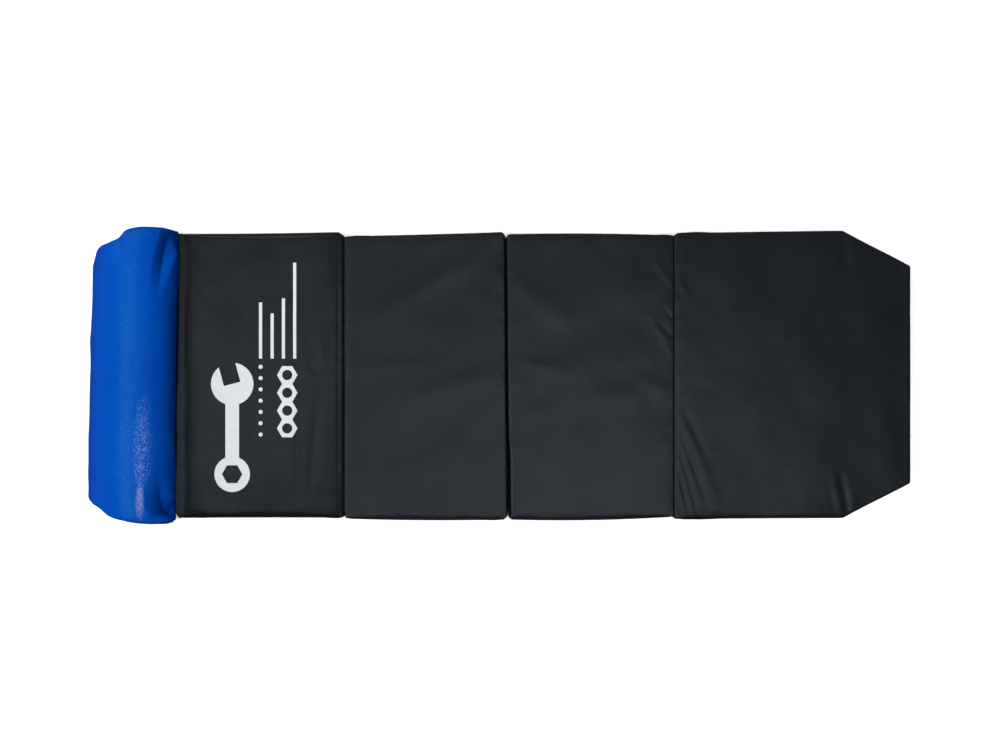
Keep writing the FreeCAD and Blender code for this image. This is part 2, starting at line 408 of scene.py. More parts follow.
class Surface(Nodes):
    """The nodes of a material, whose textures stay with the object."""

    def __init__(self, name):
        self.material = bpy.data.materials.new(name)
        self.material.use_nodes = True
        super().__init__(self.material.node_tree)
        self.shader = self.tree.nodes["Principled BSDF"]
        self.where = self.add("ShaderNodeTexCoord").outputs["Object"]

    def set(self, **values):
        for key, value in values.items():
            self.shader.inputs[key.replace("_", " ")].default_value = value

    def drive(self, name, source):
        self.link(source, self.shader.inputs[name])

    def texture(self, kind, output, inputs, **values):
        node = self.add(kind, **values)
        for name, value in inputs.items():
            node.inputs[name].default_value = value
        self.link(self.where, node.inputs["Vector"])
        return node.outputs[output]

    def noise(self, scale, detail=3.0, roughness=0.5):
        inputs = {"Scale": scale, "Detail": detail, "Roughness": roughness}
        return self.texture("ShaderNodeTexNoise", "Fac", inputs)

    def cells(self, scale):
        return self.texture("ShaderNodeTexVoronoi", "Distance", {"Scale": scale})

    def threads(self, pitch, *directions):
        """Fine parallel threads, that far apart, in each of the directions."""
        total = None
        for direction in directions:
            inputs = {"Scale": math.pi / 10 / pitch, "Distortion": 0.4, "Detail": 1.0}
            kind = {"wave_type": "BANDS", "bands_direction": direction}
            one = self.texture("ShaderNodeTexWave", "Fac", inputs, **kind)
            total = one if total is None else self.math("ADD", total, one)
        return total

    def patch(self, centre, radii, full=0.35):
        """1 in the middle of an oval patch, falling to 0 at its edge."""
        place = self.where
        for operation, values in (("SUBTRACT", centre), ("DIVIDE", radii), ("LENGTH", (0, 0, 0))):
            node = self.add("ShaderNodeVectorMath", operation=operation)
            node.inputs[1].default_value = values
            self.link(place, node.inputs[0])
            place = node.outputs["Value" if operation == "LENGTH" else "Vector"]
        return self.ranged(place, 1.0, full)

    def colour(self, value, low, high):
        """A colour between low and high, by value."""
        ramp = self.add("ShaderNodeValToRGB")
        for element, position, colour in zip(ramp.color_ramp.elements, (0.3, 0.7), (low, high)):
            element.position = position
            element.color = (*colour, 1)
        self.link(value, ramp.inputs["Fac"])
        self.drive("Base Color", ramp.outputs["Color"])

    def bump(self, height, distance, strength=1.0):
        """Adds a bump to those that the surface already has."""
        node = self.add("ShaderNodeBump")
        node.inputs["Strength"].default_value = strength
        node.inputs["Distance"].default_value = distance
        self.link(height, node.inputs["Height"])
        normal = self.shader.inputs["Normal"]
        if normal.is_linked:
            self.link(normal.links[0].from_socket, node.inputs["Normal"])
        self.drive("Normal", node.outputs["Normal"])


WEAVE = 1.1 * MM            # from one thread of the covers to the next


def black_cover_material():
    """Satin coated fabric: a fine plain weave under the coating, slightly uneven in gloss."""
    n = Surface("black_cover")
    n.set(Specular_IOR_Level=0.11, Specular_Tint=(0.85, 0.93, 1.0, 1))
    n.colour(n.noise(14, 4), (0.0056, 0.0067, 0.0086), (0.0070, 0.0084, 0.0108))
    n.drive("Roughness", n.ranged(n.noise(22, 5, 0.6), 0, 1, 0.30, 0.39))
    n.bump(n.noise(130, 3), 0.4 * MM, 0.15)
    n.bump(n.threads(WEAVE, "X", "Y", "Z"), 0.05 * MM, 0.4)
    return n.material


def black_backing_material():
    """The underside: a matt, coarser coated weave."""
    n = Surface("black_backing")
    n.set(Specular_IOR_Level=0.3)
    n.colour(n.noise(30, 4), (0.009, 0.009, 0.010), (0.016, 0.016, 0.017))
    n.drive("Roughness", n.ranged(n.noise(60, 4), 0, 1, 0.62, 0.8))
    n.bump(n.threads(2 * WEAVE, "X", "Y"), 0.3 * MM, 0.7)
    return n.material


def blue_vinyl_material():
    """Glossy soft vinyl with a fine grain, and two glossier patches: one rubbed and mottled, one polished."""
    n = Surface("blue_vinyl")
    n.set(Specular_IOR_Level=0.09, Specular_Tint=(0.0, 1.0, 1.0, 1), Coat_Roughness=0.17, Coat_IOR=1.5)
    n.colour(n.noise(9, 3), (0.0, 0.0335, 0.240), (0.0, 0.0385, 0.262))
    n.drive("Roughness", n.ranged(n.noise(45, 5, 0.6), 0, 1, 0.34, 0.48))
    n.bump(n.noise(60, 4, 0.55), 0.6 * MM, 0.2)
    n.bump(n.noise(420, 2, 0.6), 0.9 * MM, 0.6)
    n.drive("Coat Normal", n.shader.inputs["Normal"].links[0].from_socket)
    rubbed = n.patch((-509 * MM, -112 * MM, 75 * MM), (17 * MM, 92 * MM, 60 * MM))
    specks = n.ranged(n.noise(200, 4, 0.75), 0.42, 0.58)
    polished = n.patch((-516 * MM, -182 * MM, 72 * MM), (7 * MM, 30 * MM, 60 * MM))
    gloss = n.math("ADD", n.math("MULTIPLY", n.math("MULTIPLY", rubbed, specks), 0.7), 0.026)
    n.drive("Coat Weight", n.math("ADD", gloss, n.math("MULTIPLY", polished, 0.9)))
    return n.material


def foam_material():
    """Grey foam with open cells."""
    n = Surface("foam")
    n.set(Roughness=0.95)
    n.colour(n.noise(60, 4), (0.22, 0.23, 0.24), (0.34, 0.35, 0.36))
    n.bump(n.cells(700), 0.6 * MM, 0.8)
    return n.material


def board_material():
    """Brown fibreboard."""
    n = Surface("board")
    n.set(Roughness=0.75)
    n.colour(n.noise(220, 6, 0.7), (0.15, 0.085, 0.045), (0.30, 0.19, 0.11))
    n.bump(n.noise(900, 4), 0.2 * MM, 0.6)
    return n.material


def thread_material(name, low, high):
    """Twisted sewing thread."""
    n = Surface(name)
    n.set(Roughness=0.55, Sheen_Weight=0.2)
    n.colour(n.noise(300, 3), low, high)
    n.bump(n.threads(0.5 * MM, "DIAGONAL"), 0.15 * MM, 0.8)
    return n.material


def ink_material():
    """White screen print: matt, a little thin in places, with the weave showing through."""
    n = Surface("print_white")
    n.set(Specular_IOR_Level=0.35)
    n.colour(n.noise(160, 5, 0.7), (0.68, 0.71, 0.74), (0.77, 0.79, 0.81))
    n.drive("Roughness", n.ranged(n.noise(90, 4), 0, 1, 0.45, 0.62))
    n.bump(n.threads(WEAVE, "X", "Y"), 0.05 * MM, 0.5)
    return n.material


def floor_material():
    """Pale and matt, almost white."""
    n = Surface("floor")
    n.set(Roughness=0.9, Specular_IOR_Level=0.1, Emission_Strength=0.12, Emission_Color=(1, 1, 1, 1))
    n.colour(n.noise(3, 2), (0.90, 0.90, 0.90), (0.92, 0.92, 0.92))
    return n.material


MATERIALS = {
    "black_cover": black_cover_material(),
    "black_backing": black_backing_material(),
    "blue_vinyl": blue_vinyl_material(),
    "foam": foam_material(),
    "board": board_material(),
    "black_thread": thread_material("black_thread", (0.010, 0.010, 0.012), (0.03, 0.03, 0.034)),
    "blue_thread": thread_material("blue_thread", (0.0, 0.03, 0.22), (0.0, 0.045, 0.30)),
    "print_white": ink_material(),
}


# ---------------- panels

def side_bow(number, x, side):
    """How far a long side stands out at x: a curve through its three given values, and the corners."""
    low, high = PANEL_BOX[number]
    head, middle, foot = SIDE_BOW[number][side]
    t = np.clip((x - low.x) / (high.x - low.x), 0, 1)
    bow = head * (1 - t) * (1 - 2 * t) + middle * 4 * t * (1 - t) + foot * t * (2 * t - 1)
    for (along, across), distance in zip(CORNERS[number][side], (x - low.x, high.x - x)):
        if along:
            bow -= across * np.clip(1 - distance / (along * MM), 0, 1)
    return bow * MM


def planned(number, points):
    """Moves points of a straight-sided panel to its real outline: the cut corners, the bowed sides, and the
    ends that reach a little further or lie askew."""
    low, high = PANEL_BOX[number]
    points = points.copy()
    x, y = points[:, 0].copy(), points[:, 1].copy()
    if number == 4:
        cut = np.clip((x - high.x + FOOT_CUT_X) / FOOT_CUT_X, 0, 1)
        y *= 1 - cut * FOOT_CUT_Y / HALF_WIDTH
    share = np.abs(y) / HALF_WIDTH
    bow = np.where(y > 0, side_bow(number, x, 1), side_bow(number, x, -1))
    at_head = smoothstep(1 - (x - low.x) / REACH_CHANGE)
    at_foot = smoothstep(1 - (high.x - x) / REACH_CHANGE)
    head_reach, foot_reach = END_REACH[number]
    shift = at_foot * foot_reach - at_head * head_reach
    if number == 1:
        along, across = HEAD_CORNER
        corner = np.clip((-HALF_WIDTH + across - y) / across, 0, 1) ** 3
        shift += at_head * (ROLL_LEAN * y + along * corner)
    if number == 2:
        shift += at_foot * MIDDLE_LEAN * y
    if number == 3:
        shift += at_head * MIDDLE_LEAN * y
    points[:, 0] = x + shift
    points[:, 1] = y + np.sign(y) * bow * share**3
    return points


def edge_round(number, x):
    """How round the cover's edges are at x."""
    low, high = PANEL_BOX[number]
    head, foot = END_ROUND[number]
    near_head = smoothstep(1 - (x - low.x) / ROUND_CHANGE)
    near_foot = smoothstep(1 - (high.x - x) / ROUND_CHANGE)
    return SIDE_ROUND + (head - SIDE_ROUND) * near_head + (foot - SIDE_ROUND) * near_foot


def rounded(points, low, high, number):
    """Rounds the edges of a box, the lower ones so that they are flatter."""
    radius = edge_round(number, points[:, 0])
    under = smoothstep((low[2] + 8 * MM - points[:, 2]) / (6 * MM))
    upright = radius[:, None] * np.ones(3)
    upright[:, 2] = radius * (1 - 0.8 * under)
    inner = np.clip(points, np.array(low) + upright, np.array(high) - upright)
    away = (points - inner) / upright
    length = np.maximum(np.linalg.norm(away, axis=1, keepdims=True), 1e-9)
    return inner + upright * away / np.maximum(length, 1.0)


# Soft folds and wrinkles of the lying surface: start and end (x, y), half width and height, in millimetres
PANEL_CREASES = {
    1: [
        ((-298, -15), (-294, -190), 6, -0.6), ((-289, -40), (-286, -190), 5, 0.25),
        ((-264, -15), (-279, -183), 6, -0.6), ((-284, 18), (-262, 2), 6, -0.6),
        ((-266, 60), (-258, 10), 8, 0.4), ((-236.5, 212), (-236.5, -212), 2, -0.35),
        ((-430, 120), (-330, 190), 22, 0.5),
    ],
    2: [
        ((-222, 66), (-10, 186), 16, 1.2), ((-226, 8), (-95, 12), 13, 0.8),
        ((-150, -45), (5, 6), 15, 1.0), ((-60, -70), (0, -60), 22, 0.7),
        ((-180, -160), (-40, -140), 26, 0.6), ((-216, 150), (-120, 200), 20, -0.6),
        ((-40, 150), (5, 110), 14, -0.5),
    ],
    3: [
        ((14, 140), (110, 66), 16, 1.1), ((12, 24), (110, 2), 11, 0.8),
        ((12, -70), (90, -40), 14, 0.7), ((70, -40), (256, -26), 17, 0.9),
        ((196, -2), (250, -30), 13, 0.8), ((224, 170), (256, 125), 4, 0.5),
        ((214, 92), (256, 40), 4, 0.6), ((220, 84), (257, 50), 3.5, -0.6),
        ((228, 70), (256, 22), 4, 0.5), ((236, 100), (257, 76), 3, -0.5),
        ((30, -150), (160, -110), 26, 0.6),
    ],
    4: [
        ((259, -46), (318, -190), 7, 0.8), ((259, -70), (306, -196), 4, -0.6),
        ((259, -84), (298, -208), 4, 0.5), ((259, -98), (290, -208), 4, -0.8),
        ((259, -112), (284, -209), 3.5, 0.6), ((258, -130), (278, -209), 3.5, -0.8),
        ((258, -150), (271, -209), 3, 0.6), ((258, -168), (266, -209), 3, -0.6),
        ((262, -36), (300, -120), 5, -0.5), ((258, 150), (275, 110), 5, 0.5),
        ((506, 212), (503, 150), 8, -0.8), ((515, 208), (513, 160), 7, 0.4),
        ((496, -140), (509, -210), 6, -1.3), ((487, -140), (502, -214), 7, 0.6),
        ((515, -165), (514, -206), 6, 0.5), ((480, -160), (492, -208), 5, -0.4),
        ((330, 60), (480, -120), 40, 0.5),
    ],
}


# Ripples all over the lying surface and puckers along its edges: height, wavelength and seed
PANEL_RIPPLES = [(0.45 * MM, 105 * MM, 40), (0.08 * MM, 34 * MM, 50)]
PUCKERS = (0.12 * MM, 17 * MM, 60)
PUCKER_REACH = 9 * MM       # the puckers fade within about this distance of the edge

# Panel 1 rises to a rim by the head roll, with a shallow hollow behind it
RIM_HEIGHT = 1.9 * MM
RIM_SLOPE = 8 * MM
HOLLOW_DEPTH = 2 * MM
HOLLOW_START = 20 * MM
HOLLOW_FADE = 150 * MM


def surface_detail(number, points):
    """Height changes of the lying surface: broad ripples, puckers, creases, and the rim of panel 1."""
    x, y, z = points.T
    low, high = PANEL_BOX[number]
    on_top = smoothstep((z - PANEL_TOP + 9 * MM) / (6 * MM))  # 0 on the side walls
    half = HALF_WIDTH * np.ones_like(x)
    if number == 4:
        half -= np.clip((x - high.x + FOOT_CUT_X) / FOOT_CUT_X, 0, 1) * FOOT_CUT_Y
    to_side = np.maximum(half - np.abs(y), 0)
    to_end = np.maximum(np.minimum(x - low.x, high.x - x), 0)
    edge = np.minimum(to_side, to_end)

    height = np.zeros_like(x)
    for rise, wavelength, seed in PANEL_RIPPLES:
        height += rise * ripples(x, y, wavelength, seed + number)
    rise, wavelength, seed = PUCKERS
    height += rise * ripples(x, y, wavelength, seed + number) * np.exp(-edge / PUCKER_REACH)
    height += creases(x, y, PANEL_CREASES[number])
    if number == 1:
        past_rim = np.maximum(x - low.x - RIM_END, 0)
        hollow = (1 - np.exp(-past_rim / HOLLOW_START)) * smoothstep((high.x - x) / HOLLOW_FADE)
        height += RIM_HEIGHT * np.exp(-past_rim / RIM_SLOPE) - HOLLOW_DEPTH * hollow
    return height * on_top


def panel_skin(number):
    """The closed skin of a panel at rest, before the cloth settles, with its underside tagged 1."""
    low, high = PANEL_BOX[number]
    box_low = (low.x, -HALF_WIDTH, CLOTH)
    box_high = (high.x, HALF_WIDTH, PAD_TOP)
    xs = grid_lines(box_low[0], box_high[0])
    ys = grid_lines(box_low[1], box_high[1])
    zs = grid_lines(box_low[2], box_high[2], 4 * MM)
    verts, faces, tags = box_skin(xs, ys, zs)
    verts = planned(number, rounded(verts, box_low, box_high, number))
    return new_object(f"panel_{number}_skin", verts, faces, tags)


HELD_WITHIN = 1 * MM        # points this near to a seam or a fold are held


def sewn_weights(number, points):
    """1 where the cover is held: at the side seam and below, and at the panel's ends, apart from the foot end
    of the mat."""
    low, high = PANEL_BOX[number]
    seam = points[:, 2] < SEAM_Z + HELD_WITHIN
    from_end = np.minimum(points[:, 0] - low.x, high.x - points[:, 0])
    fold = from_end < HELD_WITHIN
    if number == 4:
        fold &= points[:, 0] < 0.5 * (low.x + high.x)
    return (seam | fold).astype(float)


def make_cover(number):
    """The top cover: settled as cloth, then smoothed, creased, cut from its underside and thickened. Returns
    the cover and a tree for finding its outer surface."""
    skin = panel_skin(number)
    before, after = settle_cloth(skin, sewn_weights(number, points_of(skin)), PANEL_MOST)
    after[:, 2] = before[:, 2] + SWELL * (after[:, 2] - before[:, 2])
    set_points(skin, after)
    subdivide(skin)
    points = points_of(skin)
    points[:, 2] += surface_detail(number, points)
    limit = MOST_TOP - SOFT_LIMIT
    over = np.maximum(points[:, 2] - limit, 0)
    points[:, 2] -= over - SOFT_LIMIT * np.tanh(over / SOFT_LIMIT)
    set_points(skin, points)
    cover = split_off(skin, 0, f"panel_{number}_cover")
    bpy.data.objects.remove(skin)
    tree = surface_tree(cover)
    thicken(cover)
    finish_piece(cover, f"panel_{number}", "black_cover", [f"panel_{number}_top_cover"])
    return cover, tree


def outline(number, outset, spacing=2.5 * MM):
    """Points round a panel's side, outset beyond its cover, anticlockwise from above."""
    low, high = PANEL_BOX[number]
    head, foot = END_ROUND[number]
    centres = [
        (high.x - foot, HALF_WIDTH - foot, foot, 0),
        (low.x + head, HALF_WIDTH - head, head, 90),
        (low.x + head, head - HALF_WIDTH, head, 180),
        (high.x - foot, foot - HALF_WIDTH, foot, 270),
    ]
    corners = []
    for cx, cy, radius, first in centres:
        for step in range(5):
            angle = math.radians(first + 22.5 * step)
            reach = radius + outset
            corners.append((cx + reach * math.cos(angle), cy + reach * math.sin(angle)))
    return planned(number, evenly(corners + corners[:1], spacing)[:-1])


def evenly(points, spacing=None, count=None):
    """Points at even steps along a line of points: about that far apart, or that many of them."""
    points = np.array(points, float)
    lengths = np.linalg.norm(np.diff(points, axis=0), axis=1)
    along = np.concatenate([[0], np.cumsum(lengths)])
    wanted = np.linspace(0, along[-1], count or max(2, round(along[-1] / spacing) + 1))
    return np.stack([np.interp(wanted, along, column) for column in points.T], axis=1)


UPWARDS = np.array([0, 0, 1.0]) + 1e-4  # a little off the vertical, so that no path runs along it


def closed_tube(name, path, radius, flat=1.0, sides=8):
    """A tube along a closed path of points. flat above 1 makes it higher than it is wide."""
    path = np.array(path, float)
    tangent = np.roll(path, -1, axis=0) - np.roll(path, 1, axis=0)
    tangent /= np.linalg.norm(tangent, axis=1, keepdims=True)
    side = np.cross(tangent, UPWARDS)
    side /= np.linalg.norm(side, axis=1, keepdims=True)
    lift = np.cross(side, tangent)
    verts = []
    for point, aside, upwards in zip(path, side, lift):
        for i in range(sides):
            angle = 2 * math.pi * i / sides
            verts.append(point + radius * (math.cos(angle) * aside + flat * math.sin(angle) * upwards))
    return closed_object(name, verts, ring_faces(sides, len(path), joined=True))


def stitches(name, path, outward, length=3.4 * MM, gap=1.2 * MM, radius=0.42 * MM):
    """A row of single stitches along a path: each a short thread that dips into the cloth at both ends."""
    path = evenly(path, (length + gap) / 4)
    rng = random.Random(len(path))
    profile = [(0.0, 0.35), (0.25, 0.9), (0.5, 1.0), (0.75, 0.9), (1.0, 0.35)]
    sides = 6
    verts, faces = [], []
    for first in range(0, len(path) - 4, 4):
        a, b = path[first], path[first + 3]
        run = b - a
        middle = (a + b) / 2
        out = np.array(outward(middle), float)
        run -= out * run.dot(out)
        across = np.cross(run / np.linalg.norm(run), out)
        tilt = across * rng.uniform(-0.12, 0.12) * MM
        base = len(verts)
        for t, size in profile:
            centre = middle + run * (t - 0.5) + out * radius * (size - 0.75) + tilt * (t - 0.5) * 2
            for i in range(sides):
                angle = 2 * math.pi * i / sides
                verts.append(centre + radius * size * (math.cos(angle) * across + math.sin(angle) * out))
        faces += ring_faces(sides, len(profile), base)
    return closed_object(name, verts, faces)


def make_side_seam(number):
    """The side seam: a narrow rolled edge where the two covers meet, and the stitches above it."""
    name = f"panel_{number}"
    loop = outline(number, 0.2 * MM)
    path = [(x, y, SEAM_EDGE_Z) for x, y in loop]
    rolled = closed_tube(f"{name}_seam_edge", path, SEAM_EDGE_RADIUS, flat=1.2)
    finish_piece(rolled, name, "black_cover")
    around = outline(number, 0.15 * MM)
    ahead = np.roll(around, -1, axis=0) - np.roll(around, 1, axis=0)
    sizes = np.hypot(*ahead.T)
    normals = np.stack([ahead[:, 1] / sizes, -ahead[:, 0] / sizes, np.zeros_like(sizes)], axis=1)

    def outward(point):
        return normals[int(np.argmin(np.hypot(around[:, 0] - point[0], around[:, 1] - point[1])))]

    path = [(x, y, STITCH_Z) for x, y in around]
    row = stitches(f"{name}_stitches", path + path[:1], outward)
    finish_piece(row, name, "black_thread", [f"{name}_thread"])


def make_underside(number):
    """The bottom cover: a flat sheet with its own thickness."""
    name = f"panel_{number}"
    low, high = PANEL_BOX[number]
    half = HALF_WIDTH - UNDERSIDE_INSET
    xs = np.linspace(low.x + UNDERSIDE_INSET, high.x - UNDERSIDE_INSET, 30)
    ys = np.linspace(-half, half, 50)
    verts, faces, _ = box_skin(xs, ys, np.array([0.0, CLOTH]))
    sheet = new_object(f"{name}_underside", planned(number, rounded_plan(verts, number)), faces)
    finish_piece(sheet, name, "black_backing", [f"{name}_bottom_cover"])


def rounded_plan(verts, number):
    """Rounds the four upright corners of a flat sheet."""
    low, high = PANEL_BOX[number]
    verts = verts.copy()
    for x_end, x_sign, radius in ((low.x, 1, END_ROUND[number][0]), (high.x, -1, END_ROUND[number][1])):
        for y_sign in (1, -1):
            centre = np.array([x_end + x_sign * radius, y_sign * (HALF_WIDTH - radius)])
            away = verts[:, :2] - centre
            beyond = (away[:, 0] * x_sign < 0) & (away[:, 1] * y_sign > 0)
            reach = np.hypot(away[:, 0], away[:, 1])
            pull = np.where(beyond & (reach > radius), radius / np.maximum(reach, 1e-9), 1)
            verts[:, :2] = centre + away * pull[:, None]
    return verts


def make_foam(number):
    """The foam slab inside: the CAD slab, kept well inside the settled cover."""
    low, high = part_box(f"panel_{number}_foam")
    end_inset, side_inset, top_inset = 4 * MM, 8 * MM, 5 * MM
    box_low = (low.x + end_inset, -HALF_WIDTH + side_inset, low.z)
    box_high = (high.x - end_inset, HALF_WIDTH - side_inset, PAD_TOP - top_inset)
    xs = np.linspace(box_low[0], box_high[0], 30)
    ys = np.linspace(box_low[1], box_high[1], 50)
    zs = np.linspace(box_low[2], box_high[2], 6)
    verts, faces, _ = box_skin(xs, ys, zs)
    verts = planned(number, rounded(verts, box_low, box_high, number))
    slab = new_object(f"panel_{number}_foam_slab", verts, faces)
    finish_piece(slab, f"panel_{number}", "foam", [f"panel_{number}_foam"])


# ---------------- folds

FOLD_HALF_WIDTH = HALF_WIDTH - 7 * MM
TOP_FOLD_REACH = 5.2 * MM   # how far it reaches under the covers, and under the undersides
LOW_FOLD_REACH = 6.5 * MM
TOP_FOLD_Z = PAD_TOP - 2.4 * MM
LOW_FOLD_Z = CLOTH + 0.5 * MM
VALLEY_SHARE = 0.35         # the share of a top fold's reach that its valley takes up


def fold_fabric(name, line):
    """A band of fabric across the mat, its upper side along a line of (x, z) points."""
    line = np.array(line)
    tangent = np.gradient(line, axis=0)
    tangent /= np.linalg.norm(tangent, axis=1, keepdims=True)
    normal = np.stack([-tangent[:, 1], tangent[:, 0]], axis=1)
    profile = np.vstack([line, (line - CLOTH * normal)[::-1]])
    stations = np.linspace(-FOLD_HALF_WIDTH, FOLD_HALF_WIDTH, 80)
    verts = [(x, y, z) for y in stations for x, z in profile]
    return closed_object(f"{name}_fabric", verts, ring_faces(len(profile), len(stations)))


def blend_over_fold(band):
    """Bakes the band's place into its mesh."""
    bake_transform(band)


def make_top_fold(name, before, after, depth):
    """Fabric over a fold that is hinged at the lying surface: a narrow valley between two panels."""
    line = []
    for t in np.linspace(-1, 1, 21):
        valley = depth * max(0, 1 - abs(t / VALLEY_SHARE) ** 1.5)
        line.append((JOINT_X[name] + t * TOP_FOLD_REACH, TOP_FOLD_Z - valley))
    band = fold_fabric(name, line)
    flaps = [f"panel_{before}_flap_to_{after}", f"panel_{after}_flap_to_{before}"]
    finish_piece(band, None, "black_cover", flaps)
    blend_over_fold(band)


def make_low_fold(name, flaps, before_reach=LOW_FOLD_REACH):
    """Fabric under a fold that is hinged at the floor: a flat band from one underside to the next."""
    along = np.linspace(-before_reach, LOW_FOLD_REACH, 19)
    band = fold_fabric(name, [(JOINT_X[name] + t, LOW_FOLD_Z) for t in along])
    finish_piece(band, None, "black_backing", flaps)
    blend_over_fold(band)


# ---------------- head roll

ROLL_X0 = ROLL_LOW.x + 2.2 * MM
ROLL_X1 = ROLL_HIGH.x + 1 * MM
ROLL_MIDDLE = (ROLL_X0 + ROLL_X1) / 2
ROLL_WALL = 31 * MM
ROLL_TOP = ROLL_HIGH.z + 1 * MM
ROLL_AROUND = 112           # points round the roll
ROLL_TURN = 5 * MM          # the wrap rounds over by this much towards an end seam
ROLL_HALF = 205 * MM        # about half the roll's length, to the end seams
WRAP_RINGS = 66
TURN_RINGS = 5
CAP_STEPS = 9               # from a cap's seam to its middle
CAP_RISE = 2 * MM           # how far the cap domes out beyond its seam

# The outline of each end seam seen from above: x, and how far out it lies, in millimetres
ROLL_ENDS = {
    1: [
        (-597, 160), (-590, 171), (-586, 183), (-581, 185), (-574, 187), (-568, 188.5), (-561, 191.5),
        (-552, 195), (-546, 199), (-540.5, 207), (-532, 209), (-518, 211), (-505, 211), (-480, 210.5),
        (-471, 209),
    ],
    -1: [
        (-597, 178), (-591, 184.5), (-581, 188), (-574, 191), (-567.5, 196.5), (-561, 201), (-555, 203),
        (-546, 205), (-540, 206.5), (-525.5, 209.5), (-512, 211.5), (-498.5, 213), (-486, 213.5),
        (-470, 214),
    ],
}

ROLL_CREASES = [  # start and end (x, y), half width and height, in millimetres
    ((-552, 203), (-535, 160), 8, -0.7),
    ((-575, -190), (-558, -150), 9, -0.6),
    ((-532, -210), (-530, -165), 7, -0.5),
    ((-556, 190), (-560, 60), 14, 0.4),
    ((-600, 165), (-600, 55), 20, -2.2),
]

# The two deep folds at the corners by panel 1: from the corner to where they run out, the widths of their
# left and right slopes, and the depth, in millimetres
ROLL_GROOVES = [
    ([(-467, 214), (-474, 190), (-481, 168), (-487, 140), (-494, 104)], 20, 11, 13),
    ([(-470, -214), (-476, -195), (-483, -180), (-489, -159), (-496, -138)], 33, 10, 15),
]


def roll_section(count):
    """The roll's cross-section as (x, z) points at even steps, from the fold side over the crown: an
    ellipse above the widest height, and a squarer, flat-bottomed curve below it."""
    half = (ROLL_X1 - ROLL_X0) / 2
    points = []
    for angle in np.linspace(0, 2 * math.pi, 721):
        c, s = math.cos(angle), math.sin(angle)
        if s >= 0:
            points.append((ROLL_MIDDLE + half * c, ROLL_WALL + (ROLL_TOP - ROLL_WALL) * s))
        else:
            wide = math.copysign(abs(c) ** 0.45, c)
            points.append((ROLL_MIDDLE + half * wide, ROLL_WALL - (ROLL_WALL - CLOTH) * abs(s) ** 0.45))
    return evenly(points, count=count + 1)[:-1]


def groove(x, y, line, left, right, depth):
    """A fold with a sharp bottom along a line of points, deepest at the first of them."""
    lengths = [math.dist(a, b) for a, b in zip(line, line[1:])]
    nearest = np.full(x.shape, np.inf)
    aside = np.zeros_like(x)
    along = np.zeros_like(x)
    passed = 0
    for (x0, y0), (x1, y1), length in zip(line, line[1:], lengths):
        dx, dy = (x1 - x0) / length, (y1 - y0) / length
        t = np.clip((x - x0) * dx + (y - y0) * dy, 0, length)
        distance = np.hypot(x - x0 - t * dx, y - y0 - t * dy)
        side = np.sign((x - x0) * dy - (y - y0) * dx) * (1 if y1 < y0 else -1)
        closer = distance < nearest
        nearest = np.where(closer, distance, nearest)
        aside = np.where(closer, side, aside)
        along = np.where(closer, passed + t, along)
        passed += length
    share = along / passed
    width = np.where(aside > 0, left, right) * (1 - 0.4 * share)
    slope = np.clip(1 - nearest / width, 0, 1) ** 1.1
    return -depth * slope * smoothstep((1 - share) / 0.8) * smoothstep((213 * MM - np.abs(y)) / (14 * MM))


